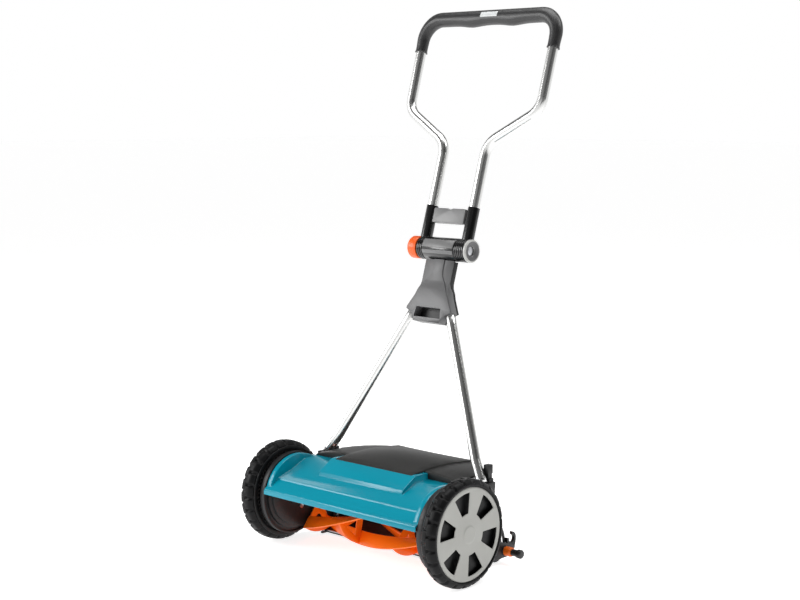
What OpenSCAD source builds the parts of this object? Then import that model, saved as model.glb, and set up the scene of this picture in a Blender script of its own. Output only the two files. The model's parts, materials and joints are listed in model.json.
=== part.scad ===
// Hand-pushed reel mower. Millimetres, +Z up, handle towards +Y, cutting side towards -Y.
// The origin is on the ground, in the middle of the footprint.

/* [Wheels] */
// Diameter of a wheel over its tread blocks
wheel_d = 210; // [206:1:214]
// Distance between the two outer wheel faces
track_w = 542; // [538:1:546]
// Width of a tyre
tyre_w = 34; // [32:1:35]
// Number of tread blocks in each row of a tyre
tread_n = 24; // [18:1:30]
// Number of windows in a hub cap
window_n = 6; // [5:1:7]

/* [Reel] */
// Diameter over the reel's blade edges
reel_d = 158; // [154:1:158]
// Length of the reel's blades
reel_len = 398; // [390:2:398]
// Number of blades, an even number because every second gap between them is filled
blade_n = 6; // [4:2:8]
// Turn of one blade from end to end, in degrees
blade_twist = 105; // [80:5:120]
// Thickness of a blade
blade_t = 3; // [2:0.5:4]
// Width of a blade along the reel's radius
blade_w = 29; // [24:1:30]

/* [Gears] */
// Gear module
gear_m = 2.5; // [2.5:0.5:2.5]
// Teeth of the ring gear inside a wheel
ring_n = 62; // [62:1:62]
// Teeth of a reel pinion
pinion_n = 13; // [13:1:13]
// Backlash taken from each tooth flank pair
backlash = 0.2; // [0.1:0.05:0.3]

/* [Chassis] */
// Distance from the middle of the footprint forward to the wheel axles
axle_forward = 142.7; // [140:0.1:146]
// Width of the front cover
cover_w = 424; // [420:2:424]
// Wall thickness of the covers
cover_t = 3; // [2.5:0.5:4]
// Half width of the raised middle of the rear hood
hood_half = 106; // [96:2:110]
// Radius of the rear roller
roller_r = 20; // [18:1:20]
// Swing of the roller arms between the lowest and the highest cut, in degrees
arm_swing = 67.5; // [60:2.5:67.5]

/* [Handle] */
// Backward lean of the handle, in degrees
lean = 16.75; // [14:0.25:18]
// Height of the hinge barrel's axis
barrel_z = 613; // [603:1:623]
// Diameter of the handle tubes
tube_d = 21.5; // [20:0.5:21.5]
// Wall thickness of the handle tubes
tube_t = 1.5; // [1:0.1:2]
// Half width of the handle at the grip
grip_half = 181; // [171:1:191]
// Height of the grip's centre line above the barrel, along the handle
grip_rise = 498; // [478:1:508]
// Diameter of the grip
grip_d = 35; // [32:1:36]

/* [Hidden] */
$fn = 96;

// Wheel and drive
wheel_r = wheel_d / 2;
axle_y = -axle_forward;
axle_z = wheel_r;
wheel_out = track_w / 2;
tyre_x = wheel_out - 1 - tyre_w;
tyre_bore = wheel_r - 13.5;
groove_depth = 3.5;
groove_w = 5;
drum_r = tyre_bore - 5.5;
web_x = wheel_out - 17;
axle_r = 6;
bush_r = 9;
window_turn = -16;

// The reel sits behind and below the axle, at the gears' centre distance
gear_a = gear_m * (ring_n - pinion_n) / 2;
reel_drop = 15;
reel_y = sqrt(gear_a * gear_a - reel_drop * reel_drop);
reel_z = axle_z - reel_drop;
reel_r = reel_d / 2;
mesh_angle = atan2(reel_z - axle_z, reel_y);
gear_x = tyre_x + 2;
gear_w = 12;
pitch_r = gear_m * pinion_n / 2;
shaft_r = 9;
stub_r = 7;
spider_t = 3;
spider_n = 4;
blade_first = 232;
sector_turns = [262, 227, 252, 217];

// Side plates
plate_x = 205;
plate_t = 6;
plate_out = plate_x + plate_t;
plate_r = 66;
dish_r = 86;
bearing_r = 14;

// Rear roller, its arms and latches, as [y, z] from the axle line and the ground
arm_pivot = [112, 36];
roller_at = [169, roller_r];
latch_at = [177, 26];
arm_x = 200.2;
arm_t = 4;
slot_r = norm(latch_at - arm_pivot);
slot_turn = atan2(latch_at[1] - arm_pivot[1], latch_at[0] - arm_pivot[0]);
latch_r = 3;
slot_play = 0.2;
slot_end_r = latch_r + slot_play + 0.05;
housing_l = 18.4;
knob_x = plate_out + housing_l + 0.6;
hook_at = [197, 47];

// Bedknife
knife_pivot = [90, 11];
knife_end = 199.2;

// Covers
lip_y = -88;
lip_z = 116;
seam_y = 15;
seam_z = 190;
cover_rim_r = 84;
cover_back = 52;
rim_w = 13;
plateau_half = 117;
hood_back = 203;
hood_side = 203;
hood_foot = 152;
front_foot = 172;
shoulder_back = 130;
step_w = 0.4;
foot_in = 187;

// Handle: points are [x, distance along the handle from the barrel's axis]
barrel_y = 229.4;
barrel_r = 24;
tube_r = tube_d / 2;
bend_r = 45;
bend_lap = 0.4;
bend_swell = 0.2;
core_half = 42.6;
knuckle_in = 43.2;
knuckle_out = 70;
button_travel = 3;
neck_in = 59.5;
neck_out = 80.5;
button_in = neck_in + button_travel + 0.2;
neck_r = 20.3;
sleeve_r = 12.5;
yoke_neck = 8;
yoke_foot = 12.5;
yoke_split = -5.5;
yoke_foot_split = 6;
yoke_rib = 2;
pin_r = 9;
stem_r = 6;
lower_path = [[36, -106], [190, -414], [216, -455]];
upper_path = [[57, 32], [57, 225.7], [grip_half - 2, 298.3], [grip_half, grip_rise],
              [-grip_half, grip_rise], [2 - grip_half, 298.3], [-57, 225.7], [-57, 32]];

// ---------------------------------------------------------------- frames and helpers

// From the axle line's frame to the part's frame
module at_axle() translate([0, axle_y, 0]) children();

// The right side as drawn, or its mirror image on the left
module on_side(s) mirror([s < 0 ? 1 : 0, 0, 0]) children();

// Turns a shape drawn in [y, z] with its height along x, and stands it at x0
module facing_x(x0 = 0) translate([x0, 0, 0]) rotate([90, 0, 90]) children();

// A solid of revolution about a line along x through [y, z]; the outline is [radius, x]
module turned(at, outline) translate([0, at[0], at[1]]) rotate([0, 90, 0]) rotate_extrude() polygon(outline);

// A round bar along x
module bar_x(at, r, x0, x1) translate([x0, at[0], at[1]]) rotate([0, 90, 0]) cylinder(r = r, h = x1 - x0);

// A round tube along x
module tube_x(at, r_out, r_in, x0, x1) difference() {
    bar_x(at, r_out, x0, x1);
    bar_x(at, r_in, x0 - 1, x1 + 1);
}

// The leaning frame of the handle: x across, z up along the handle, origin on the barrel's axis
module on_handle() at_axle() translate([0, barrel_y, barrel_z]) rotate([-lean, 0, 0]) children();

// A flat shape drawn in [x, along] on the handle, from depth n0 to depth n1 behind the handle's plane
module handle_plate(n0, n1) translate([0, n1, 0]) rotate([90, 0, 0]) linear_extrude(n1 - n0) children();

// ---------------------------------------------------------------- bent bars

function unit(v) = v / norm(v);
function turn_of(u, v) = atan2(u[0] * v[1] - u[1] * v[0], u * v);

// Length that a bend of the given radius takes from each leg at corner i of a path
function setback(path, i, r) =
    i <= 0 || i >= len(path) - 1 ? 0
    : r * tan(abs(turn_of(unit(path[i] - path[i - 1]), unit(path[i + 1] - path[i]))) / 2);

// Lays a child that stands along +Z so that it runs from point p in direction u of the handle's plane
module along(p, u) translate([p[0], 0, p[1]]) rotate([0, atan2(u[0], u[1]), 0]) children();

// A bar, or a tube when hollow is more than 0, along a path of straight legs with round bends
module bent(path, r, hollow = 0) {
    for (i = [0:len(path) - 2]) {
        u = unit(path[i + 1] - path[i]);
        s0 = i > 0 ? setback(path, i, bend_r) - bend_lap : 0;
        s1 = i < len(path) - 2 ? setback(path, i + 1, bend_r) - bend_lap : 0;
        high = norm(path[i + 1] - path[i]) - s0 - s1;
        along(path[i] + u * s0, u) difference() {
            cylinder(r = r, h = high);
            if (hollow > 0) translate([0, 0, -1]) cylinder(r = hollow, h = high + 2);
        }
    }
    for (i = [1:len(path) - 2]) {
        u = unit(path[i] - path[i - 1]);
        a = turn_of(u, unit(path[i + 1] - path[i]));
        side = a > 0 ? 1 : -1;
        start = path[i] - u * setback(path, i, bend_r);
        along(start, u) translate([-side * bend_r, 0, 0]) rotate([90, 0, side > 0 ? 0 : 180])
            rotate_extrude(angle = abs(a)) translate([bend_r, 0]) difference() {
                circle(r + bend_swell);
                if (hollow > 0) circle(hollow - bend_swell);
            }
    }
}

// ---------------------------------------------------------------- gears

function inv(a) = tan(a) * 180 / PI - a;

// Half the angle that a tooth covers at radius r, in degrees
function half_tooth(n, r, extra) =
    let (rp = gear_m * n / 2, rb = rp * cos(20), a = r > rb ? acos(rb / r) : 0)
    90 / n + extra / rp * 90 / PI + inv(20) - inv(a);

// Outline of an involute gear, with one tooth centred on the first axis
function gear_outline(n, r_root, r_tip, extra, steps) = [
    for (i = [0:n - 1], s = [-1, 1], k = [0:steps])
        let (f = s < 0 ? k : steps - k,
             r = r_root + (r_tip - r_root) * f / steps,
             a = i * 360 / n + s * half_tooth(n, r, extra))
        r * [cos(a), sin(a)]
];

// ---------------------------------------------------------------- springs

// Closed helical wire of round section along z
module spring(r, wire, h, turns) {
    steps = 14;
    n = turns * steps;
    sides = 6;
    pts = [for (i = [0:n], j = [0:sides - 1])
        let (a = i * 360 / steps, b = j * 360 / sides, q = r + wire * cos(b))
        [q * cos(a), q * sin(a), wire + (h - 2 * wire) * i / n + wire * sin(b)]];
    sides_faces = [for (i = [0:n - 1], j = [0:sides - 1])
        let (k = (j + 1) % sides) [i * sides + j, i * sides + k, (i + 1) * sides + k, (i + 1) * sides + j]];
    ends = [[for (j = [sides - 1:-1:0]) j], [for (j = [0:sides - 1]) n * sides + j]];
    polyhedron(pts, concat(sides_faces, ends), convexity = 10);
}

// ---------------------------------------------------------------- wheels

// One row of tread blocks as an outline
module tread_row(turn) difference() {
    circle(wheel_r);
    circle(tyre_bore);
    for (i = [0:tread_n - 1])
        rotate(turn + i * 360 / tread_n) translate([wheel_r - groove_depth, -groove_w / 2])
            square([groove_depth + 1, groove_w]);
}

module tyre(s) color([0.13, 0.13, 0.13]) at_axle() on_side(s) translate([0, 0, axle_z]) {
    facing_x(tyre_x) linear_extrude(tyre_w / 2) tread_row(0);
    facing_x(tyre_x + tyre_w / 2) linear_extrude(tyre_w / 2) tread_row(180 / tread_n);
}

module rim(s) color([0.1, 0.1, 0.1]) at_axle() on_side(s) turned([0, axle_z], [
    [bush_r, gear_x - 1], [15, gear_x - 1], [15, web_x], [drum_r, web_x], [drum_r, tyre_x - 3],
    [tyre_bore + 3.5, tyre_x - 3], [tyre_bore + 3.5, tyre_x - 0.5], [tyre_bore, tyre_x - 0.5],
    [tyre_bore, wheel_out - 5], [tyre_bore - 3.5, wheel_out - 5], [tyre_bore - 3.5, web_x + 4],
    [15, web_x + 4], [15, wheel_out - 7], [bush_r, wheel_out - 7]]);

module ring_gear(s) color([0.1, 0.1, 0.1]) at_axle() on_side(s) translate([0, 0, axle_z])
    facing_x(gear_x) linear_extrude(gear_w) difference() {
        circle(drum_r);
        rotate(mesh_angle) polygon(gear_outline(ring_n, gear_m * ring_n / 2 - 1.5,
            gear_m * ring_n / 2 + 1.25 * gear_m, backlash, 3));
    }

// Window of a hub cap: narrow towards the hub, wide towards the rim
module cap_window() polygon([[43, -9], [43, 9], [82, 21.5], [82, -21.5]]);

module hub_cap(s) color([0.76, 0.76, 0.73]) at_axle() on_side(s) difference() {
    union() {
        turned([0, axle_z], [
            [0, wheel_out - 2.4], [17, wheel_out - 2.4], [17, wheel_out - 6.2], [tyre_bore - 4, wheel_out - 6.2],
            [tyre_bore - 4, wheel_out - 4.9], [tyre_bore - 0.3, wheel_out - 4.9],
            [tyre_bore - 0.3, wheel_out - 2.8], [tyre_bore - 3.5, wheel_out - 1.6], [30, wheel_out - 2.6],
            [26, wheel_out], [0, wheel_out]]);
        translate([0, 0, axle_z]) for (a = [100, 190, 235])
            rotate([a, 0, 0]) bar_x([31, 0], 3, web_x + 4, wheel_out - 6);
    }
    translate([0, 0, axle_z]) facing_x(wheel_out - 8) linear_extrude(9)
        for (i = [0:window_n - 1]) rotate(window_turn + i * 360 / window_n) cap_window();
}

module bush(s) color([0.72, 0.6, 0.35]) at_axle() on_side(s)
    tube_x([0, axle_z], bush_r, axle_r + 0.05, gear_x - 2, wheel_out - 6);

module axles() color([0.7, 0.7, 0.72]) at_axle() for (s = [-1, 1]) on_side(s)
    bar_x([0, axle_z], axle_r, plate_x, wheel_out - 3.4);

module axle_clips() color([0.6, 0.6, 0.62]) at_axle() for (s = [-1, 1]) on_side(s) {
    tube_x([0, axle_z], 12, axle_r, gear_x - 3.6, gear_x - 2.2);
    tube_x([0, axle_z], 10, axle_r, wheel_out - 5.7, wheel_out - 4.3);
}

// ---------------------------------------------------------------- chassis

// Outline of a side plate, in [y, z]
module plate_outline() {
    translate([0, axle_z]) circle(plate_r);
    polygon([[-8, 39.5], [64, 13], [80, 5], [98, 5], [112, 14], [162, 12], [194, 13], [207, 26], [211, 44],
             [hook_at[0], hook_at[1] - 10.5], [172, 43], [142, 58], [138, 100], [140, 158], [114, 182],
             [82, 182], [78, 150], [0, 171]]);
}

// Open hook for a catcher's rod, in [y, z]
module hook() translate(hook_at) difference() {
    circle(14);
    circle(8);
    polygon([[0, 0], [2, 20], [-20, 20], [-16, 4]]);
}

// Where a lower tube's foot meets its side plate
module foot_bore(r, from, to) let (u = unit(lower_path[2] - lower_path[1]))
    translate([0, barrel_y, barrel_z]) rotate([-lean, 0, 0])
        along(lower_path[2] + u * from, u) cylinder(r = r, h = to - from);

// Cross bolt through a foot of the lower handle and the lug behind it
module foot_bolt(r, n0, n1) let (u = unit(lower_path[2] - lower_path[1]), p = lower_path[2] - u * 8)
    translate([0, barrel_y, barrel_z]) rotate([-lean, 0, 0])
        translate([p[0], n0, p[1]]) rotate([-90, 0, 0]) cylinder(r = r, h = n1 - n0);

module side_plate(s) color([0.12, 0.12, 0.12]) at_axle() on_side(s) difference() {
    union() {
        facing_x(plate_x) linear_extrude(plate_t) {
            plate_outline();
            hook();
            for (a = [95, 125, 155]) translate([0, axle_z]) rotate(a) translate([40, -4]) square([40.6, 8]);
        }
        bar_x([0, axle_z], 74, plate_out - 0.5, plate_out + 6);
        bar_x([0, axle_z], dish_r, plate_out + 6, plate_out + 10);
        tube_x([0, axle_z], dish_r, dish_r - 4, plate_out + 2, plate_out + 14);
        bar_x([0, axle_z], 14, plate_x + 1, gear_x - 4);
        bar_x([reel_y, reel_z], 19, plate_x + 1, plate_out + 15);
        bar_x(latch_at, 10, plate_x + 1, plate_out + 2);
        translate([foot_in, 81, 166]) cube([plate_out + 17 - foot_in, 44, 12]);
        translate([plate_x + 1, 84, 150]) cube([plate_t + 16, 40, 17]);
        translate([foot_in + 20, 112, 170]) cube([17, 12, 15]);
        if (s > 0) {
            translate([plate_out, 112, 184]) cube([10, 11, 12]);
            translate([plate_out - 1, 110, 195]) cube([12, 14, 17]);
        }
        translate([199.6, 66, 13]) cube([plate_x - 199, 11, 8]);
    }
    bar_x([0, axle_z], axle_r, plate_x - 1, gear_x);
    bar_x([reel_y, reel_z], bearing_r, plate_x + 2, plate_out + 20);
    bar_x([reel_y, reel_z], shaft_r + 1, plate_x - 1, plate_x + 3);
    bar_x(latch_at, latch_r + 0.05, plate_x - 1, plate_out + 1);
    bar_x(latch_at, 7, plate_out - 2, plate_out + 3);
    bar_x(arm_pivot, 4, plate_x - 1, plate_out + 1);
    bar_x(knife_pivot, 3.55, plate_x - 1, plate_out + 1);
    translate([202.2, 72, 0]) cylinder(r = 2, h = 30);
    foot_bore(tube_r, -60, 4.5);
    foot_bolt(3, -30, 30);
}

module tie_rods() color([0.62, 0.63, 0.65]) at_axle() {
    bar_x([-45, 128], 6, -plate_x, plate_x);
    bar_x([118, 159], 6, -plate_x, plate_x);
}

// Plate bolts, arm pivots, foot bolts and the yoke's screws
module fasteners() color([0.68, 0.69, 0.72]) {
    at_axle() for (s = [-1, 1]) on_side(s) {
        for (p = [[10, 76], [-30, 112]]) bar_x(p, 4.5, plate_x - 3, plate_x);
        bar_x(arm_pivot, 3.95, arm_x, plate_out);
        bar_x(arm_pivot, 7, plate_out, plate_out + 3);
        foot_bolt(3, -11.5, 22);
    }
    on_handle() for (s = [-1, 1]) on_side(s) {
        translate([28, yoke_neck - 1, -60]) rotate([-90, 0, 0]) cylinder(r = 4, h = 2.4);
        translate([22, yoke_foot, -118]) rotate([-90, 0, 0]) cylinder(r = 4, h = 2.4);
    }
}

// Section of the front cover's skin, in [y, z]
module skin_outline() polygon([[lip_y, lip_z], [lip_y, lip_z + 8], [lip_y + 1.5, lip_z + 11.5], [-60, 145], [-59, 148],
                               [-24, 159], [seam_y, 176], [cover_back, 178], [cover_back, lip_z]]);

// Section of the raised middle of the front cover
module plateau_outline() polygon([[-24, 150], [-24, 159], [-20, 168], [seam_y, seam_z], [cover_back, seam_z],
                                  [cover_back, 150]]);

// The front cover as a filled body; t is how far its ends are drawn in for the inside
module front_cover_body(t) {
    long = cover_w / 2 + (t > 0 ? 1 : 0);
    facing_x(-long) linear_extrude(2 * long) skin_outline();
    facing_x(t - plateau_half) linear_extrude(2 * (plateau_half - t)) plateau_outline();
}

// Raised rim at each end of the front cover, or the space under it
module cover_rim(r, x0, x1, y0, z0) for (s = [-1, 1]) on_side(s) intersection() {
    bar_x([0, axle_z], r, x0, x1);
    translate([0, y0, z0]) cube([300, cover_back + 1 - y0, 100]);
}

module front_cover() color([0, 0.58, 0.66]) at_axle() difference() {
    union() {
        front_cover_body(0);
        cover_rim(cover_rim_r, cover_w / 2 - rim_w, cover_w / 2, lip_y, lip_z + 8);
    }
    translate([0, 0.8 * cover_t, -cover_t]) front_cover_body(cover_t);
    cover_rim(cover_rim_r - cover_t, cover_w / 2 - rim_w + cover_t, cover_w, lip_y + 5, lip_z - 1);
    translate([-hood_half - 0.5, seam_y, 120]) cube([2 * hood_half + 1, 100, 100]);
    translate([-300, cover_back, 100]) cube([600, 10, 100]);
}

// Height of the rear hood: crowned in the middle, with lower shoulders beside it
function hood_top(y) = let (f = (y - seam_y) / (hood_back - seam_y))
    seam_z + 17 * sin(180 * pow(f, 0.9)) - 2 * f;
function hood_z(x, y) = let (e = max(0, abs(x) - hood_half) / (hood_side - hood_half),
                             f = min(1, abs(x) / hood_half), high = hood_top(y))
    high - (high - seam_z) * 0.6 * f * f - (e > 0 ? 2.5 + 12 * e * e : 0);

// Front edge of the hood at x
function hood_front(x) = abs(x) > hood_half ? cover_back + 0.3 : seam_y + 0.1;

// Rear edge of the hood at x: straight in the middle, cut back towards the side plates
function hood_rear(x) = let (e = max(0, abs(x) - hood_half) / (hood_side - hood_half))
    hood_back - (hood_back - shoulder_back) * e;

// The hood is one sheet: its rows run backwards, and the first and last are the feet of its end walls
module hood_sheet() {
    half_xs = concat([for (i = [0:6]) i * hood_half / 6],
                     [for (i = [0:5]) hood_half + step_w + i * (hood_side - hood_half - step_w) / 5]);
    n_half = len(half_xs);
    xs = concat([for (i = [n_half - 1:-1:1]) -half_xs[i]], half_xs);
    nx = len(xs);
    rows = 12;
    top = concat([for (x = xs) [x, hood_front(x), front_foot]],
                 [for (j = [0:rows], x = xs)
                     let (y = hood_front(x) + (hood_rear(x) - hood_front(x)) * j / rows) [x, y, hood_z(x, y)]],
                 [for (x = xs) [x, hood_rear(x), hood_foot]]);
    low = [for (j = [0:rows + 2], i = [0:nx - 1]) let (p = top[j * nx + i],
            at_step = abs(p[0]) >= hood_half && abs(p[0]) <= hood_half + step_w,
            in_y = j < 2 ? cover_t : j > rows ? -cover_t : 0, in_z = j == 0 || j == rows + 2 ? 0 : cover_t)
        [p[0] - (at_step ? sign(p[0]) * cover_t : 0), p[1] + in_y, p[2] - in_z]];
    n = len(top);
    up = [for (j = [0:rows + 1], i = [0:nx - 2])
        [j * nx + i, (j + 1) * nx + i, (j + 1) * nx + i + 1, j * nx + i + 1]];
    down = [for (f = up) [for (k = [3:-1:0]) f[k] + n]];
    ends = [for (j = [0:rows + 1], e = [0, nx - 1]) let (a = j * nx + e, b = (j + 1) * nx + e)
        e == 0 ? [a, a + n, b + n, b] : [a, b, b + n, a + n]];
    rims = [for (i = [0:nx - 2], e = [0, rows + 2]) let (a = e * nx + i, b = a + 1)
        e == 0 ? [a, b, b + n, a + n] : [a, a + n, b + n, b]];
    polyhedron(concat(top, low), concat(up, down, ends, rims), convexity = 6);
}

module rear_hood() color([0.16, 0.16, 0.17]) at_axle() difference() {
    hood_sheet();
    for (s = [-1, 1]) on_side(s) translate([foot_in - 0.4, 80.6, 100]) cube([40, 44.8, 150]);
}

// ---------------------------------------------------------------- reel

module reel_shaft() color([0.66, 0.67, 0.7]) at_axle() difference() {
    union() {
        bar_x([reel_y, reel_z], shaft_r, -gear_x + 1, gear_x - 1);
        bar_x([reel_y, reel_z], stub_r, -gear_x - gear_w - 2, gear_x + gear_w + 2);
    }
    for (s = [-1, 1]) on_side(s) translate([gear_x, reel_y - 1.6, reel_z - 4]) cube([gear_w + 4, 3.2, 12]);
}

// One spider: a hub and three filled sectors, each with a round or a three-cornered window
module spider(turn, round_window) difference() {
    union() {
        circle(21);
        for (k = [0:blade_n / 2 - 1]) rotate(turn + k * 720 / blade_n) intersection() {
            circle(reel_r - 2);
            polygon([[0, 0], [120, -120 * tan(180 / blade_n)], [120, 120 * tan(180 / blade_n)]]);
        }
    }
    circle(shaft_r);
    for (k = [0:blade_n / 2 - 1]) rotate(turn + k * 720 / blade_n)
        if (round_window) translate([48, 0]) circle(9);
        else polygon([[34, 0], [61, 17], [61, -17]]);
}

module reel_spiders() color([0.9, 0.28, 0.06]) at_axle() for (i = [0:spider_n - 1])
    translate([0, reel_y, reel_z]) facing_x(-reel_len / 2 + i * (reel_len - spider_t) / (spider_n - 1))
        linear_extrude(spider_t) spider(sector_turns[i], i == 0);

module reel_blades() color([0.93, 0.32, 0.07]) at_axle() translate([0, reel_y, reel_z])
    for (k = [0:blade_n - 1]) facing_x(-reel_len / 2) rotate(blade_first - k * 360 / blade_n)
        linear_extrude(reel_len, twist = blade_twist, slices = 30, segments = 4)
            translate([reel_r - blade_w, -blade_t / 2]) square([blade_w, blade_t]);

module pinion(s) color([0.55, 0.55, 0.58]) at_axle() on_side(s) translate([0, reel_y, reel_z])
    facing_x(gear_x) linear_extrude(gear_w) difference() {
        rotate(mesh_angle) polygon(gear_outline(pinion_n, pitch_r - 1.25 * gear_m, pitch_r + gear_m, -backlash, 5));
        circle(stub_r + 0.05);
        for (a = [0:120:240]) rotate(a + 90) translate([0, -1.8]) square([9.2, 3.6]);
    }

module drive_pawls() color([0.5, 0.5, 0.53]) at_axle() for (s = [-1, 1]) on_side(s)
    translate([gear_x + 1, reel_y - 1.5, reel_z - 3.8]) cube([gear_w - 2, 3, 12.4]);

module pinion_clips() color([0.6, 0.6, 0.62]) at_axle() for (s = [-1, 1]) on_side(s)
    tube_x([reel_y, reel_z], 11, stub_r, gear_x + gear_w + 0.3, gear_x + gear_w + 1.5);

module bearing(s) color([0.72, 0.72, 0.74]) at_axle() on_side(s)
    tube_x([reel_y, reel_z], bearing_r, shaft_r + 0.05, plate_x + 2, plate_out + 14);

// ---------------------------------------------------------------- bedknife

module bedknife_bar() color([0.1, 0.11, 0.13]) at_axle() {
    facing_x(-knife_end) linear_extrude(2 * knife_end) polygon([
        [80, 5.3], [108, 5.3], [128, 28], [128, 38], [122.5, 38], [110.5, 26], [99.2, 17.5], [99.2, 9.3], [80, 9.3]]);
    for (s = [-1, 1]) on_side(s) {
        bar_x(knife_pivot, 5.5, knife_end, plate_x - 0.2);
        bar_x(knife_pivot, 3.5, plate_x - 0.2, plate_out - 0.5);
        translate([knife_end, 66, 5.3]) cube([plate_x - 0.2 - knife_end, 24, 3.7]);
    }
}

module bedknife() color([0.7, 0.71, 0.73]) at_axle()
    facing_x(-knife_end + 1) linear_extrude(2 * knife_end - 2) polygon([[75.5, 12.3], [77.5, 9.3], [99, 9.3], [99, 12.3]]);

module bedknife_screws() color([0.55, 0.56, 0.6]) at_axle() for (i = [-2:2])
    translate([i * 85, 89, 12.3]) cylinder(r = 3.5, h = 1.6);

module adjusting_screws() color([0.7, 0.7, 0.72]) at_axle() for (s = [-1, 1]) on_side(s)
    translate([202.2, 72, 9.05]) {
        cylinder(r = 2, h = 14);
        translate([0, 0, 14]) cylinder(r = 2.6, h = 3, $fn = 6);
    }

// ---------------------------------------------------------------- rear roller

// A fan-shaped arm with the slot that its latch pin runs in
module roller_arm(s) color([0.2, 0.2, 0.22]) at_axle() on_side(s) facing_x(arm_x) difference() {
    linear_extrude(arm_t) {
        translate(arm_pivot) {
            circle(11);
            rotate(slot_turn) intersection() {
                circle(slot_r + 8);
                polygon([[0, 0], [84, -9], [88, 40], [62, 90], [18, 90]]);
            }
        }
        translate(roller_at) circle(12);
        polygon([arm_pivot + [-3, -11], roller_at + [-3, -11.5], roller_at + [3, 11], arm_pivot + [3, 11]]);
    }
    translate(arm_pivot) translate([0, 0, -1]) {
        cylinder(r = 4, h = arm_t + 2);
        rotate(slot_turn) rotate_extrude(angle = arm_swing)
            translate([slot_r - latch_r - slot_play, 0]) square([2 * (latch_r + slot_play), arm_t + 2]);
        for (a = [0, arm_swing]) rotate(slot_turn + a) translate([slot_r, 0, 0])
            cylinder(r = slot_end_r, h = arm_t + 2);
        rotate(slot_turn + 22) rotate_extrude(angle = 34) translate([24, 0]) square([22, arm_t + 2]);
    }
    translate([roller_at[0], roller_at[1], -1]) cylinder(r = 5, h = arm_t + 2);
}

module roller_shaft() color([0.66, 0.67, 0.7]) at_axle() bar_x(roller_at, 5, -arm_x - arm_t, arm_x + arm_t);

module rear_roller() color([0.14, 0.14, 0.15]) at_axle() turned(roller_at, [
    [5.05, -196], [roller_r - 2, -196], [roller_r, -194], [roller_r, 194], [roller_r - 2, 196], [5.05, 196]]);

module latch_housing(s) color([0.95, 0.45, 0.12]) at_axle() on_side(s) turned(latch_at, [
    [6.2, plate_out - 2], [7, plate_out - 2], [7, plate_out + 2], [9.5, plate_out + 2],
    [9.5, plate_out + housing_l - 2], [8, plate_out + housing_l], [latch_r + 0.05, plate_out + housing_l],
    [latch_r + 0.05, plate_out + 12.5], [6.2, plate_out + 12.5]]);

module latch_pin(s) color([0.68, 0.69, 0.72]) at_axle() on_side(s) {
    bar_x(latch_at, latch_r, arm_x + 0.4, plate_out + housing_l + 11);
    tube_x(latch_at, 5.6, latch_r, plate_out - 1.8, plate_out - 0.3);
}

module latch_spring(s) color([0.75, 0.75, 0.78]) at_axle() on_side(s)
    translate([plate_out - 0.2, latch_at[0], latch_at[1]]) rotate([0, 90, 0]) spring(4.6, 0.5, 12.6, 5);

module latch_knob(s) color([0.08, 0.08, 0.08]) at_axle() on_side(s) turned(latch_at, [
    [latch_r, knob_x], [6.5, knob_x], [7, knob_x + 11], [8.8, knob_x + 15], [8.8, knob_x + 22],
    [7, knob_x + 24], [0, knob_x + 24], [0, knob_x + 10.4], [latch_r, knob_x + 10.4]]);

// ---------------------------------------------------------------- lower handle

module lower_tube(s) color([0.78, 0.79, 0.8]) difference() {
    on_handle() on_side(s) bent(lower_path, tube_r, tube_r - tube_t);
    at_axle() on_side(s) foot_bolt(3, -30, 30);
}

// Outline of the yoke, in [x, along]; its lower corners are square to the tubes
module yoke_outline() polygon([[-38, -16], [38, -16], [38, -80], [46, -101], [62.5, -131], [45.1, -139.7], [38, -147],
                               [36, -156], [-36, -156], [-38, -147], [-45.1, -139.7], [-62.5, -131], [-46, -101],
                               [-38, -80]]);

// Middle of the yoke's front, which stands proud: narrow at the top and as wide as the yoke below
module yoke_middle() polygon([[-14, -16], [14, -16], [14, -46], [16, -56], [22, -67], [32, -81], [60, -128], [63, -156],
                              [-63, -156], [-60, -128], [-32, -81], [-22, -67], [-16, -56], [-14, -46]]);

// A slice of the yoke between two depths, each given at the neck and at the foot, where the tubes go in
module yoke_slice(n0, foot_n0, n1, foot_n1) intersection() {
    handle_plate(-30, 30) children();
    facing_x(-80) linear_extrude(160) polygon([[n0, -16], [n0, -72], [foot_n0, -90], [foot_n0, -156],
                                               [foot_n1, -156], [foot_n1, -90], [n1, -72], [n1, -16]]);
}

// Space inside the yoke for the tubes and the core's tongue
module yoke_inside() {
    for (s = [-1, 1]) on_side(s) bent(lower_path, tube_r);
    translate([-18, -4, -80]) cube([36, 8, 80]);
    rotate([0, 90, 0]) translate([0, 0, -60]) cylinder(r = barrel_r + 1.6, h = 120);
}

module yoke_front() color([0.42, 0.42, 0.42]) on_handle() difference() {
    union() {
        yoke_slice(-yoke_neck, -yoke_foot, yoke_split, yoke_foot_split) yoke_outline();
        yoke_slice(-yoke_neck - yoke_rib, -yoke_foot - yoke_rib, yoke_split, yoke_foot_split) intersection() {
            yoke_middle();
            yoke_outline();
        }
    }
    yoke_inside();
    handle_plate(-20, yoke_foot_split + 1) polygon([[-33, -126], [33, -126], [36.5, -147], [-36.5, -147]]);
}

module yoke_back() color([0.13, 0.13, 0.13]) on_handle() difference() {
    yoke_slice(yoke_split, yoke_foot_split, yoke_neck - 1, yoke_foot) yoke_outline();
    yoke_inside();
}

module hinge_core() color([0.11, 0.11, 0.11]) on_handle() difference() {
    union() {
        bar_x([0, 0], barrel_r, -core_half, core_half);
        translate([-18, -4, -79]) cube([36, 8, 70]);
    }
    bar_x([0, 0], pin_r, -60, 60);
}

// Grey panel wrapped over the front of the core, in two strips
module barrel_panel() color([0.5, 0.5, 0.5]) on_handle() for (a = [[140, 45], [197, 18]])
    facing_x(0.6 - core_half) rotate(a[0]) rotate_extrude(angle = a[1])
        translate([barrel_r, 0]) square([1.2, 2 * core_half - 1.2]);

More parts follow.
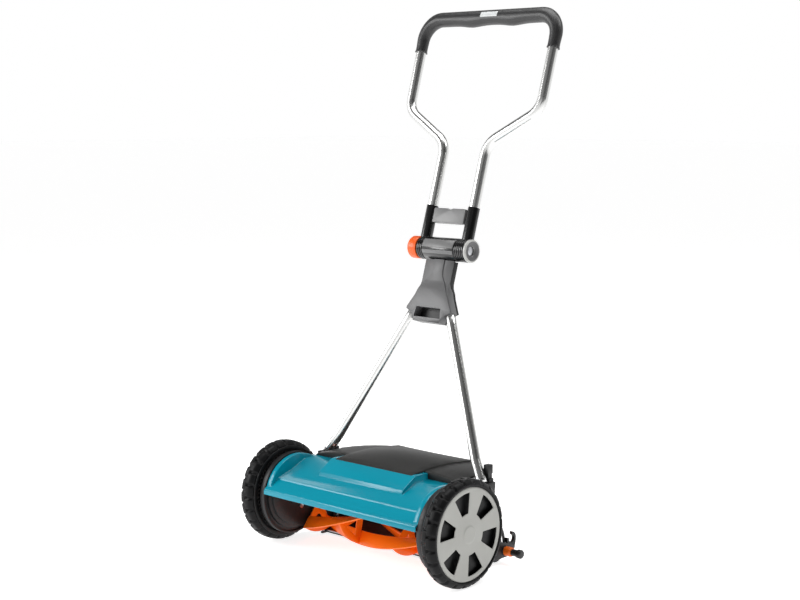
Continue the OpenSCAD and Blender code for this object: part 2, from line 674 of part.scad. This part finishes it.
// The pin that the upper handle turns on, bored from the left for the button's stem and spring
module hinge_pin() color([0.7, 0.7, 0.73]) on_handle() difference() {
    bar_x([0, 0], pin_r, -knuckle_out - 1, knuckle_out);
    bar_x([0, 0], stem_r + 0.1, -80, 12);
}

// ---------------------------------------------------------------- upper handle

// Knuckle and sleeve of one handle bracket; the left knuckle has a neck that the button slides on
module bracket(s) color([0.09, 0.09, 0.09]) on_handle() on_side(s) difference() {
    union() {
        bar_x([0, 0], barrel_r - 1.2, knuckle_in, s < 0 ? neck_in : knuckle_out);
        for (i = [0:s < 0 ? 2 : 4]) bar_x([0, 0], barrel_r, knuckle_in + 1.5 + i * 5, knuckle_in + 4.5 + i * 5);
        if (s < 0) bar_x([0, 0], neck_r, neck_in - 1, neck_out);
        along([57, 8], [0, 1]) cylinder(r = sleeve_r, h = 82);
    }
    bar_x([0, 0], pin_r + 0.05, 0, 90);
    along([57, 32], [0, 1]) cylinder(r = tube_r, h = 80);
    if (s < 0) tube_x([0, 0], barrel_r + 0.6, neck_r, neck_in, neck_out);
}

module bracket_bridge() color([0.5, 0.5, 0.5]) on_handle()
    handle_plate(-9, 5) polygon([[-knuckle_in, 54], [knuckle_in, 54], [knuckle_in, 85], [7, 85], [0, 81.5], [-7, 85],
                                 [-knuckle_in, 85]]);

module end_ring() color([0.72, 0.72, 0.7]) on_handle() turned([0, 0], [
    [pin_r + 1, knuckle_out], [barrel_r, knuckle_out], [barrel_r, knuckle_out + 4], [barrel_r - 1.5, knuckle_out + 6],
    [20.5, knuckle_out + 6], [16, knuckle_out + 1.5], [pin_r + 1, knuckle_out + 1.5]]);

module upper_tube() color([0.78, 0.79, 0.8]) on_handle() bent(upper_path, tube_r, tube_r - tube_t);

// The grip's path is the top of the tube's path
grip_path = [[grip_half - 0.7, 427], [grip_half, grip_rise], [-grip_half, grip_rise], [0.7 - grip_half, 427]];

module grip_half_shell(n0, n1) on_handle() difference() {
    intersection() {
        bent(grip_path, grip_d / 2);
        translate([-300, n0, 300]) cube([600, n1 - n0, 300]);
    }
    bent(upper_path, tube_r);
    inlay_block(5);
}

module grip_front() color([0.17, 0.17, 0.17]) grip_half_shell(-40, 0);
module grip_back() color([0.14, 0.14, 0.14]) grip_half_shell(0, 40);

// Trim plate let into the upper front of the grip, or the pocket for it
module inlay_block(high) translate([0, 0, grip_rise]) rotate([38, 0, 0])
    translate([-32, -5, grip_d / 2 - 1.6]) cube([44, 10, high]);

module grip_inlay() color([0.7, 0.72, 0.72]) on_handle() inlay_block(1.5);

// The button is a cup that slides on the left bracket's neck, with a stem that reaches the spring
module release_button() color([0.93, 0.33, 0.12]) on_handle() on_side(-1) turned([0, 0], [
    [0, 20], [stem_r, 20], [stem_r, 84], [neck_r + 0.3, 84], [neck_r + 0.3, button_in], [23.6, button_in],
    [23.6, 83], [21.5, 86.2], [15, 88], [0, 88]]);

module button_spring() color([0.75, 0.75, 0.78]) on_handle() translate([-20, 0, 0]) rotate([0, 90, 0])
    spring(4.4, 0.6, 31.8, 10);

// ---------------------------------------------------------------- nodes

tyre(-1);  // left_tyre
tyre(1);  // right_tyre
rim(-1);  // left_rim
rim(1);  // right_rim
ring_gear(-1);  // left_ring_gear
ring_gear(1);  // right_ring_gear
hub_cap(-1);  // left_hub_cap
hub_cap(1);  // right_hub_cap
bush(-1);  // left_bush
bush(1);  // right_bush
axles();
axle_clips();
side_plate(-1);  // left_side_plate
side_plate(1);  // right_side_plate
tie_rods();
fasteners();
front_cover();
rear_hood();
reel_shaft();
reel_spiders();
reel_blades();
pinion(-1);  // left_pinion
pinion(1);  // right_pinion
drive_pawls();
pinion_clips();
bearing(-1);  // left_bearing
bearing(1);  // right_bearing
bedknife_bar();
bedknife();
bedknife_screws();
adjusting_screws();
roller_arm(-1);  // left_roller_arm
roller_arm(1);  // right_roller_arm
roller_shaft();
rear_roller();
latch_housing(-1);  // left_latch_housing
latch_housing(1);  // right_latch_housing
latch_pin(-1);  // left_latch_pin
latch_pin(1);  // right_latch_pin
latch_knob(-1);  // left_latch_knob
latch_knob(1);  // right_latch_knob
latch_spring(-1);  // left_latch_spring
latch_spring(1);  // right_latch_spring
lower_tube(-1);  // left_lower_tube
lower_tube(1);  // right_lower_tube
yoke_front();
yoke_back();
hinge_core();
barrel_panel();
hinge_pin();
bracket(-1);  // left_bracket
bracket(1);  // right_bracket
bracket_bridge();
end_ring();
upper_tube();
grip_front();
grip_back();
grip_inlay();
release_button();
button_spring();
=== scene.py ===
import json
import math

import bmesh
import bpy
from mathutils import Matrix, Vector


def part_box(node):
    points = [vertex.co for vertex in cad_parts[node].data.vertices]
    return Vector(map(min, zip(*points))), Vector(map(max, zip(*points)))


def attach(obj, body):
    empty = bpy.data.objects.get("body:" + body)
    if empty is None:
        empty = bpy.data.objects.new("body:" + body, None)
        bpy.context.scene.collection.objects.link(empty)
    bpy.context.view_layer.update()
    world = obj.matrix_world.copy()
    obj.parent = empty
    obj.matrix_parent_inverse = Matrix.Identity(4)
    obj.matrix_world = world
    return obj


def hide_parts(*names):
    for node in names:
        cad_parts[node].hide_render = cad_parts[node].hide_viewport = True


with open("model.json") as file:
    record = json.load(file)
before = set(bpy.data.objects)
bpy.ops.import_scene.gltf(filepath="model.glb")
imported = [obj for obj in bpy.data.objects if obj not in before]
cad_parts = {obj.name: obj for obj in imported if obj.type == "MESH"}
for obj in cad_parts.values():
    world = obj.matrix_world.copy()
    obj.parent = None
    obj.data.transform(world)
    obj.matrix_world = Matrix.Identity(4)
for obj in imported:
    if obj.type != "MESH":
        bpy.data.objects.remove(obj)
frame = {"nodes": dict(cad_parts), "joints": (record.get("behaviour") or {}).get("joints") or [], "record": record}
scene = bpy.context.scene
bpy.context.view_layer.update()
nodes = frame["nodes"]
joints = {j["name"]: j for j in frame["joints"]}

AXLE = Vector(joints["left_wheel_spin"]["pos_m"])
BARREL = Vector(joints["handle_fold"]["pos_m"])
LEAN = math.radians(16.75)
ACROSS = Vector((1, 0, 0))
UP_HANDLE = Vector((0, math.sin(LEAN), math.cos(LEAN)))
OFF_HANDLE = Vector((0, math.cos(LEAN), -math.sin(LEAN)))


# ---------------------------------------------------------------- materials

SLOW_SCALE = 14
RELIEF_DEPTH = 0.0006


def material(name, color, rough, metallic=0.0, grain=900.0, bump=0.05, vary=0.06, tone=0.06,
             specular=0.5, streak=None):
    """A procedural finish: slow changes of tone, and a fine grain in roughness and relief."""
    m = bpy.data.materials.new(name)
    m.use_nodes = True
    tree = m.node_tree
    new, link = tree.nodes.new, tree.links.new
    shader = tree.nodes["Principled BSDF"]
    shader.inputs["Metallic"].default_value = metallic
    shader.inputs["Specular IOR Level"].default_value = specular
    coords = new("ShaderNodeTexCoord")
    place = new("ShaderNodeMapping")
    place.inputs["Scale"].default_value = streak or (1, 1, 1)
    link(coords.outputs["Object"], place.inputs["Vector"])
    slow = new("ShaderNodeTexNoise")
    slow.inputs["Scale"].default_value = SLOW_SCALE
    slow.inputs["Detail"].default_value = 4
    link(coords.outputs["Object"], slow.inputs["Vector"])
    fine = new("ShaderNodeTexNoise")
    fine.inputs["Scale"].default_value = grain
    fine.inputs["Detail"].default_value = 3
    link(place.outputs["Vector"], fine.inputs["Vector"])
    mix = new("ShaderNodeMix")
    mix.data_type = "RGBA"
    mix.inputs["A"].default_value = (*[c * (1 - tone) for c in color], 1)
    mix.inputs["B"].default_value = (*[min(1, c * (1 + tone)) for c in color], 1)
    link(slow.outputs["Fac"], mix.inputs["Factor"])
    link(mix.outputs["Result"], shader.inputs["Base Color"])
    spread = new("ShaderNodeMapRange")
    spread.inputs["To Min"].default_value = max(0.02, rough - vary)
    spread.inputs["To Max"].default_value = min(1, rough + vary)
    link(fine.outputs["Fac"], spread.inputs["Value"])
    link(spread.outputs["Result"], shader.inputs["Roughness"])
    relief = new("ShaderNodeBump")
    relief.inputs["Strength"].default_value = bump
    relief.inputs["Distance"].default_value = RELIEF_DEPTH
    link(fine.outputs["Fac"], relief.inputs["Height"])
    link(relief.outputs["Normal"], shader.inputs["Normal"])
    return m


MATERIALS = {
    "tyre": material("tyre", (0.006, 0.006, 0.0065), 0.42, bump=0.12, grain=700, specular=0.16),
    "rim_plastic": material("rim_plastic", (0.005, 0.005, 0.0055), 0.4, grain=1500, specular=0.3),
    "gear_plastic": material("gear_plastic", (0.012, 0.012, 0.013), 0.45, specular=0.35),
    "cap_grey": material("cap_grey", (0.42, 0.42, 0.395), 0.42, grain=2500, bump=0.06, specular=0.4),
    "bronze": material("bronze", (0.5, 0.33, 0.14), 0.4, metallic=1),
    "zinc": material("zinc", (0.55, 0.56, 0.58), 0.32, metallic=1),
    "steel": material("steel", (0.5, 0.51, 0.53), 0.28, metallic=1, streak=(1, 30, 30)),
    "gear_steel": material("gear_steel", (0.3, 0.3, 0.32), 0.35, metallic=1),
    "chassis_black": material("chassis_black", (0.011, 0.011, 0.012), 0.42, grain=1500, bump=0.08,
                              specular=0.4),
    "teal": material("teal", (0.0, 0.28, 0.385), 0.2, grain=2200, bump=0.02, tone=0.03, vary=0.03,
                     specular=0.38),
    "hood_grey": material("hood_grey", (0.03, 0.03, 0.029), 0.45, grain=1800, bump=0.25, specular=0.16),
    "reel_orange": material("reel_orange", (0.95, 0.165, 0.004), 0.3, grain=1200, bump=0.05, tone=0.05,
                            specular=0.3),
    "bar_black": material("bar_black", (0.02, 0.02, 0.022), 0.4),
    "knife_steel": material("knife_steel", (0.5, 0.51, 0.53), 0.3, metallic=1, streak=(1, 40, 40)),
    "latch_orange": material("latch_orange", (0.9, 0.16, 0.01), 0.35),
    "knob_black": material("knob_black", (0.012, 0.012, 0.012), 0.45, bump=0.1),
    "arm_steel": material("arm_steel", (0.03, 0.03, 0.032), 0.4),
    "roller_black": material("roller_black", (0.02, 0.02, 0.022), 0.5),
    "tube_silver": material("tube_silver", (0.72, 0.72, 0.71), 0.24, metallic=1, grain=3000, bump=0.02,
                            vary=0.04, tone=0.03),
    "grey_plastic": material("grey_plastic", (0.13, 0.13, 0.132), 0.42, grain=2200, bump=0.1),
    "black_plastic": material("black_plastic", (0.003, 0.003, 0.0032), 0.22, grain=1800, bump=0.03,
                              specular=0.8),
    "panel_grey": material("panel_grey", (0.18, 0.18, 0.18), 0.35, grain=2200, bump=0.1),
    "ring_grey": material("ring_grey", (0.5, 0.5, 0.48), 0.3),
    "soft_grip": material("soft_grip", (0.014, 0.014, 0.0145), 0.4, grain=1100, bump=0.3, specular=0.6),
    "inlay": material("inlay", (0.62, 0.64, 0.64), 0.3),
    "button_orange": material("button_orange", (0.9, 0.12, 0.01), 0.35),
    "spring_steel": material("spring_steel", (0.5, 0.5, 0.52), 0.3, metallic=1),
}
SLOT = {s["node"]: s["material_slot"] for s in frame["record"]["subparts"]}
# Nodes with a rougher finish than the rest of their slot
DULL = {"yoke_back": "chassis_black"}


# ---------------------------------------------------------------- CAD nodes shown with softened edges

WELD_GAP = 1e-6
SHARP = math.radians(32)


def dress(name, bevel):
    """Shows a CAD node with its material, welded, with its sharp edges rounded."""
    obj = nodes[name]
    obj.data.materials.clear()
    obj.data.materials.append(MATERIALS[DULL.get(name, SLOT[name])])
    obj.data.shade_smooth()
    weld = obj.modifiers.new("weld", "WELD")
    weld.merge_threshold = WELD_GAP
    if bevel:
        edge = obj.modifiers.new("edge", "BEVEL")
        edge.width = bevel
        edge.segments = 2
        edge.limit_method = "ANGLE"
        edge.angle_limit = SHARP
        edge.use_clamp_overlap = True
        edge.harden_normals = True
    return obj


USUAL_BEVEL = 0.0006
BEVELS = {
    "left_tyre": 0.0009, "right_tyre": 0.0009, "front_cover": 0.0016, "rear_hood": 0.0012,
    "left_hub_cap": 0.0012, "right_hub_cap": 0.0012, "reel_blades": 0.0004, "reel_spiders": 0.0005,
    "left_side_plate": 0.001, "right_side_plate": 0.001, "yoke_front": 0.001, "yoke_back": 0.0015,
    "left_bracket": 0.002, "right_bracket": 0.002, "bracket_bridge": 0.002, "hinge_core": 0.0008,
    "barrel_panel": 0.0006, "grip_front": 0.002, "grip_back": 0.002,
    "left_latch_spring": 0, "right_latch_spring": 0, "button_spring": 0,
    "left_ring_gear": 0, "right_ring_gear": 0, "left_pinion": 0, "right_pinion": 0,
}
for name in nodes:
    dress(name, BEVELS.get(name, USUAL_BEVEL))


# ---------------------------------------------------------------- pieces


def piece(name, mesh, body, slot_name, *stands_for):
    """A built mesh, in the row frame, that rides on a body and may stand for CAD nodes."""
    obj = bpy.data.objects.new(name, mesh)
    scene.collection.objects.link(obj)
    mesh.materials.append(MATERIALS[slot_name])
    mesh.shade_smooth()
    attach(obj, body)
    if stands_for:
        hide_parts(*stands_for)
    return obj


def mesh_of(name, points, faces):
    """A mesh with its faces turned outwards."""
    mesh = bpy.data.meshes.new(name)
    mesh.from_pydata([tuple(p) for p in points], [], faces)
    shape = bmesh.new()
    shape.from_mesh(mesh)
    bmesh.ops.recalc_face_normals(shape, faces=shape.faces)
    shape.to_mesh(mesh)
    shape.free()
    return mesh


def thicken(obj, depth):
    """Gives a skin its thickness, inwards from its face."""
    mod = obj.modifiers.new("thick", "SOLIDIFY")
    mod.thickness = depth
    mod.offset = -1


def round_edges(obj, width, segments=2, angle=40):
    mod = obj.modifiers.new("edge", "BEVEL")
    mod.width = width
    mod.segments = segments
    mod.limit_method = "ANGLE"
    mod.angle_limit = math.radians(angle)


def subdivide(obj, levels):
    mod = obj.modifiers.new("smooth", "SUBSURF")
    mod.levels = mod.render_levels = levels


# Hub caps: rings of (radius, height from the wheel's outer face); windows lie between two rings
CAP_RINGS = [(0.006, 0.0), (0.0145, 0.0), (0.0162, -0.0004), (0.0172, -0.0014), (0.026, -0.002),
             (0.0335, -0.0026), (0.041, -0.0026), (0.0455, -0.0026), (0.06, -0.0023), (0.076, -0.002),
             (0.081, -0.0019), (0.0855, -0.0017), (0.0885, -0.0017), (0.0912, -0.0029)]
CAP_WALL = 0.0022
CAP_STEPS = 4  # points along each window and each spoke
WINDOW_FROM, WINDOW_TO = 6, 10
WINDOWS = 6
WINDOW_TURN = math.radians(-16)
HALF_INNER, HALF_OUTER = 0.009, 0.0215


def window_angle(r):
    """Half the angle that a window takes up at radius r."""
    near, far = CAP_RINGS[WINDOW_FROM][0], CAP_RINGS[WINDOW_TO][0]
    r = min(max(r, near), far)
    return math.asin((HALF_INNER + (HALF_OUTER - HALF_INNER) * (r - near) / (far - near)) / r)


def hub_cap(side, name, body, stands_for):
    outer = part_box(stands_for)[1 if side > 0 else 0].x
    steps = CAP_STEPS
    columns = WINDOWS * steps * 2
    points, faces = [], []
    for r, height in CAP_RINGS:
        half = window_angle(r)
        spoke = math.tau / WINDOWS - 2 * half
        for i in range(WINDOWS):
            middle = WINDOW_TURN + i * math.tau / WINDOWS
            turns = [middle - half + 2 * half * k / steps for k in range(steps)]
            turns += [middle + half + spoke * k / steps for k in range(steps)]
            for a in turns:
                points.append((outer + side * height, AXLE.y + r * math.cos(a), AXLE.z + r * math.sin(a)))
    for j in range(len(CAP_RINGS) - 1):
        for i in range(columns):
            if WINDOW_FROM <= j < WINDOW_TO and i % (2 * steps) < steps:
                continue
            k = (i + 1) % columns
            faces.append((j * columns + i, j * columns + k, (j + 1) * columns + k, (j + 1) * columns + i))
    faces.append(tuple(range(columns)))
    mesh = mesh_of(name, points, faces)
    if mesh.polygons[0].normal.x * side < 0:
        mesh.flip_normals()
    cap = piece(name, mesh, body, "cap_grey", stands_for)
    thicken(cap, CAP_WALL)
    round_edges(cap, 0.0006, 1, 50)
    subdivide(cap, 2)
    return cap


hub_cap(1, "right_hub_cap_face", "right_wheel", "right_hub_cap")
hub_cap(-1, "left_hub_cap_face", "left_wheel", "left_hub_cap")


# Swept pieces of the handle: points are (x, distance along the handle from the hinge's axis)


def on_handle(x, along, off=0.0):
    return BARREL + ACROSS * x + UP_HANDLE * along + OFF_HANDLE * off


def rounded(path, radius, per_bend=14, per_leg=6):
    """Points along a path of straight legs with round bends."""
    path = [Vector(p) for p in path]
    out = []
    last = path[0]
    for a, b, c in zip(path, path[1:], path[2:]):
        u, v = (b - a).normalized(), (c - b).normalized()
        turn = u.angle(v)
        take = radius * math.tan(turn / 2)
        start, end = b - u * take, b + v * take
        out += [last.lerp(start, k / per_leg) for k in range(per_leg)]
        inward = (v - u).normalized()
        centre = b + inward * (radius / math.cos(turn / 2))
        for k in range(per_bend):
            f = k / per_bend
            near, far = math.sin(turn * (1 - f)), math.sin(turn * f)
            arm = (start - centre).lerp(end - centre, far / (far + near)) if 0 < f < 1 else start - centre
            out.append(centre + arm.normalized() * radius)
        last = end
    return out + [last.lerp(path[-1], k / per_leg) for k in range(per_leg + 1)]


def sweep(name, line, section, body, slot_name, *stands_for, sides=32):
    """A skin over sections (outward, off) set along a line of the handle's plane."""
    length = [0.0]
    for a, b in zip(line, line[1:]):
        length.append(length[-1] + (b - a).length)
    points, faces = [], []
    for i, p in enumerate(line):
        u = (line[min(i + 1, len(line) - 1)] - line[max(i - 1, 0)]).normalized()
        side = Vector((-u.y, u.x))
        for outward, off in section(length[i] / length[-1], sides):
            q = p + side * outward
            points.append(on_handle(q.x, q.y, off))
    for i in range(len(line) - 1):
        for k in range(sides):
            m = (k + 1) % sides
            faces.append((i * sides + k, i * sides + m, (i + 1) * sides + m, (i + 1) * sides + k))
    faces += [tuple(range(sides)), tuple(range((len(line) - 1) * sides, len(line) * sides))]
    return piece(name, mesh_of(name, points, faces), body, slot_name, *stands_for)


def round_section(radius):
    """A circular section for sweep()."""
    def section(f, sides):
        turns = [k * math.tau / sides for k in range(sides)]
        return [(radius * math.cos(a), radius * math.sin(a)) for a in turns]
    return section


TUBE_R = 0.01075
BEND_R = 0.045
TOP = (0.181, 0.498)
for side, word in ((1, "right"), (-1, "left")):
    leg = rounded([(side * 0.036, -0.106), (side * 0.19, -0.414), (side * 0.216, -0.455)], BEND_R)
    sweep(word + "_lower_tube_skin", leg, round_section(TUBE_R), "chassis", "tube_silver",
          word + "_lower_tube")
loop = rounded([(0.057, 0.032), (0.057, 0.2257), (0.179, 0.2983), TOP, (-TOP[0], TOP[1]), (-0.179, 0.2983),
                (-0.057, 0.2257), (-0.057, 0.032)], BEND_R)
sweep("upper_tube_skin", loop, round_section(TUBE_R), "upper_handle", "tube_silver", "upper_tube")

# Grip: outward is down on the bar and inwards on the legs
GRIP = rounded([(0.1803, 0.427), TOP, (-TOP[0], TOP[1]), (-0.1803, 0.427)], BEND_R, per_bend=18, per_leg=22)
GRIP_LENGTH = sum((b - a).length for a, b in zip(GRIP, GRIP[1:]))
BAR_UNDER, BAR_OVER, BAR_HALF = 0.0145, 0.0171, 0.0152
LEG_UNDER, LEG_OVER, LEG_HALF = 0.0124, 0.0128, 0.0126
BULGE_AT, BULGE_SHIFT, BULGE_WIDE, BULGE_DEEP = 0.055, 0.006, 0.026, 0.0042
FLARE_LONG = 0.006


def grip_point(f, a):
    """Surface at share f of the length and angle a: two bulges under the bar, legs tapering to a flare."""
    away = abs(f - 0.5) * GRIP_LENGTH
    swell = math.exp(-((abs((f - 0.5) * GRIP_LENGTH + BULGE_SHIFT) - BULGE_AT) / BULGE_WIDE) ** 2)
    leg = min(1, max(0, (away - 0.15) / 0.07))
    under = (BAR_UNDER + BULGE_DEEP * swell) * (1 - leg) + LEG_UNDER * leg
    over = BAR_OVER * (1 - leg) + LEG_OVER * leg
    half = BAR_HALF * (1 - leg) + LEG_HALF * leg
    flare = max(0, 1 - (GRIP_LENGTH / 2 - away) / FLARE_LONG)
    grow = 1 + 0.1 * flare * flare
    outward = math.cos(a) * (over if math.cos(a) < 0 else under)
    return outward * grow, math.sin(a) * half * grow


def grip_section(f, sides):
    return [grip_point(f, k * math.tau / sides) for k in range(sides)]


sweep("grip_skin", GRIP, grip_section, "upper_handle", "soft_grip", "grip_front", "grip_back", sides=40)

# Grip's inlay: a thin curved plate on the front of the bar, set by its ends and by angles from the bar's top
INLAY_X = (-0.018, 0.027)
INLAY_TURN = (math.radians(58), math.radians(97))
INLAY_STEPS = (18, 10)
INLAY_LIFT = 1.03


def inlay_face():
    points, faces = [], []
    across, down = INLAY_STEPS
    for i in range(across + 1):
        x = INLAY_X[0] + (INLAY_X[1] - INLAY_X[0]) * i / across
        for k in range(down + 1):
            turn = INLAY_TURN[0] + (INLAY_TURN[1] - INLAY_TURN[0]) * k / down
            outward, off = grip_point(0.5 - x / GRIP_LENGTH, math.pi + turn)
            points.append(on_handle(x, TOP[1] - outward * INLAY_LIFT, off * INLAY_LIFT))
    for i in range(across):
        for k in range(down):
            a = i * (down + 1) + k
            faces.append((a, a + 1, a + down + 2, a + down + 1))
    mesh = mesh_of("grip_inlay_face", points, faces)
    if mesh.polygons[0].normal.dot(OFF_HANDLE) > 0:
        mesh.flip_normals()
    face = piece("grip_inlay_face", mesh, "upper_handle", "inlay", "grip_inlay")
    thicken(face, 0.0012)
    round_edges(face, 0.0003)


inlay_face()

# End ring: a dished middle behind the thin light rim, drawn as a turned section of (x from the rim, radius). The
# dish is a darker grey than the rim: painted shade standing in for the shade of a deeper recess
RING_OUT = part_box("end_ring")[1].x


def turned_on_barrel(name, section, body, slot_name, *stands_for, sides=72):
    points = []
    for x, r in section:
        for k in range(sides):
            a = k * math.tau / sides
            points.append(BARREL + ACROSS * x + UP_HANDLE * r * math.cos(a) + OFF_HANDLE * r * math.sin(a))
    n = len(section)
    faces = []
    for j in range(n):
        m = (j + 1) % n
        for k in range(sides):
            q = (k + 1) % sides
            faces.append((j * sides + k, j * sides + q, m * sides + q, m * sides + k))
    return piece(name, mesh_of(name, points, faces), body, slot_name, *stands_for)


DISH = [(-0.0004, 0.0203), (-0.0042, 0.0162), (-0.0043, 0.0102), (-0.0037, 0.0102), (-0.0036, 0.0158),
        (-0.0002, 0.0196)]
# The darker grey of the dish is painted shade for the recess behind the rim
turned_on_barrel("end_ring_painted_shade_dish", [(RING_OUT + x, r) for x, r in DISH], "upper_handle", "grey_plastic")

# Tyres: half a section of (distance from the side, radius), turned about the axle, with two staggered rows
# of grooves
BLOCKS = 24
BLOCK_STEPS = 14
GROOVE_DEEP = 0.0042
GROOVE_EDGE = (0.0016, 0.0034)
TREAD_R = 0.105
GROOVE_FROM_R = (0.0955, 0.1)
RIB_HALF = 0.0008
TYRE_SECTION = [(0.0, 0.0915), (0.0, 0.0955), (0.0006, 0.0972), (0.0016, 0.0986), (0.0026, 0.1),
                (0.0036, 0.1012), (0.0046, 0.1024), (0.006, 0.1035), (0.0078, 0.1043), (0.01, 0.1047),
                (0.0125, 0.1049), (0.0147, 0.105), (0.0161, 0.105), (0.017, 0.1046)]


def smooth_step(low, high, value):
    f = min(1, max(0, (value - low) / (high - low)))
    return f * f * (3 - 2 * f)


def tyre_skin(side, name, body, stands_for):
    low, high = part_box(stands_for)
    inner, outer = (low.x, high.x) if side > 0 else (high.x, low.x)
    wide = abs(outer - inner)
    half = [(x, r, 0) for x, r in TYRE_SECTION]
    section = half + [(wide - x, r, 1) for x, r in reversed(TYRE_SECTION[:-1])]
    around = BLOCKS * BLOCK_STEPS
    points, faces = [], []
    for i in range(around):
        for x, r, row in section:
            beat = (i / BLOCK_STEPS + row / 2) % 1
            gap = abs(beat - round(beat)) * math.tau * TREAD_R / BLOCKS
            depth = GROOVE_DEEP * (1 - smooth_step(*GROOVE_EDGE, gap)) * smooth_step(*GROOVE_FROM_R, r)
            if abs(x - wide / 2) < RIB_HALF:
                depth = 0.0
            a = i * math.tau / around
            points.append((inner + side * x, AXLE.y + (r - depth) * math.cos(a),
                           AXLE.z + (r - depth) * math.sin(a)))
    n = len(section)
    for i in range(around):
        k = (i + 1) % around
        for j in range(n):
            m = (j + 1) % n
            faces.append((i * n + j, i * n + m, k * n + m, k * n + j))
    return piece(name, mesh_of(name, points, faces), body, "tyre", stands_for)


tyre_skin(1, "right_tyre_skin", "right_wheel", "right_tyre")
tyre_skin(-1, "left_tyre_skin", "left_wheel", "left_tyre")

# ---------------------------------------------------------------- camera, floor and light

LENS = 69.66
CAMERA_TURN = (math.radians(43.45), math.radians(6.89))  # round from the front to the right, then up
CAMERA_AT = Vector((2.1253, -2.1486, 0.8924))  # from the ground under the middle of the axle
FLOOR_HALF = 40
FLOOR_GLOW = 0.8

camera = bpy.data.objects.new("camera", bpy.data.cameras.new("camera"))
scene.collection.objects.link(camera)
scene.camera = camera
camera.data.lens = LENS
camera.data.sensor_width = 36
azimuth, elevation = CAMERA_TURN
back = Vector((math.sin(azimuth) * math.cos(elevation), -math.cos(azimuth) * math.cos(elevation),
               math.sin(elevation)))
camera.location = Vector((0, AXLE.y, 0)) + CAMERA_AT
camera.rotation_mode = "QUATERNION"
camera.rotation_quaternion = (-back).to_track_quat("-Z", "Y")
camera.data.clip_start = 0.05
camera.data.clip_end = 150

floor_mesh = bpy.data.meshes.new("floor")
floor_mesh.from_pydata([(x * FLOOR_HALF, y * FLOOR_HALF, 0) for x, y in ((-1, -1), (1, -1), (1, 1), (-1, 1))],
                       [], [(0, 1, 2, 3)])
floor = bpy.data.objects.new("floor", floor_mesh)
scene.collection.objects.link(floor)
floor_paint = material("floor", (0.8, 0.8, 0.8), 0.9, bump=0, tone=0.01, specular=0.1)
floor_shader = floor_paint.node_tree.nodes["Principled BSDF"]
floor_shader.inputs["Emission Color"].default_value = (1, 1, 1, 1)
floor_shader.inputs["Emission Strength"].default_value = FLOOR_GLOW
floor_mesh.materials.append(floor_paint)

WALL_TOWARDS = (0.95, -0.22, 0.22)
RANGE_INPUTS = ("From Min", "From Max", "To Min", "To Max")
world = bpy.data.worlds.new("studio")
scene.world = world
world.use_nodes = True


def studio(tree):
    """A white room, dark overhead, with a dark wall to the right of the camera."""
    new, link = tree.nodes.new, tree.links.new
    coords = new("ShaderNodeTexCoord")
    facing = new("ShaderNodeVectorMath")
    facing.operation = "DOT_PRODUCT"
    facing.inputs[1].default_value = WALL_TOWARDS
    link(coords.outputs["Generated"], facing.inputs[0])
    wall = new("ShaderNodeMapRange")
    wall.interpolation_type = "SMOOTHSTEP"
    for key, value in zip(RANGE_INPUTS, (0.58, 0.85, 1.0, 0.15)):
        wall.inputs[key].default_value = value
    link(facing.outputs["Value"], wall.inputs["Value"])
    parts = new("ShaderNodeSeparateXYZ")
    link(coords.outputs["Generated"], parts.inputs["Vector"])
    ceiling = new("ShaderNodeMapRange")
    ceiling.interpolation_type = "SMOOTHSTEP"
    for key, value in zip(RANGE_INPUTS, (0.22, 0.5, 1.0, 0.15)):
        ceiling.inputs[key].default_value = value
    link(parts.outputs["Z"], ceiling.inputs["Value"])
    both = new("ShaderNodeMath")
    both.operation = "MULTIPLY"
    link(wall.outputs["Result"], both.inputs[0])
    link(ceiling.outputs["Result"], both.inputs[1])
    link(both.outputs["Value"], tree.nodes["Background"].inputs["Color"])
    tree.nodes["Background"].inputs["Strength"].default_value = 1.0


studio(world.node_tree)


def softbox(name, at, aim, size, watts):
    """A rectangular light at a place, aimed at a point."""
    light = bpy.data.objects.new(name, bpy.data.lights.new(name, "AREA"))
    scene.collection.objects.link(light)
    light.data.shape = "RECTANGLE"
    light.data.size, light.data.size_y = size
    light.data.energy = watts
    light.location = at
    light.rotation_mode = "QUATERNION"
    light.rotation_quaternion = (Vector(aim) - Vector(at)).to_track_quat("-Z", "Y")


softbox("front", (-2.0, -2.0, 1.5), (0, -0.1, 0.3), (1.4, 1.3), 42)
softbox("side", (1.2, 1.2, 2.6), (0, 0, 0.2), (1.0, 1.0), 20)
softbox("top", (-0.2, 0.2, 3.0), (0, 0, 0.2), (2.0, 1.6), 46)

scene.view_settings.view_transform = "Standard"
scene.view_settings.look = "None"
scene.view_settings.exposure = 0
scene.view_settings.gamma = 1
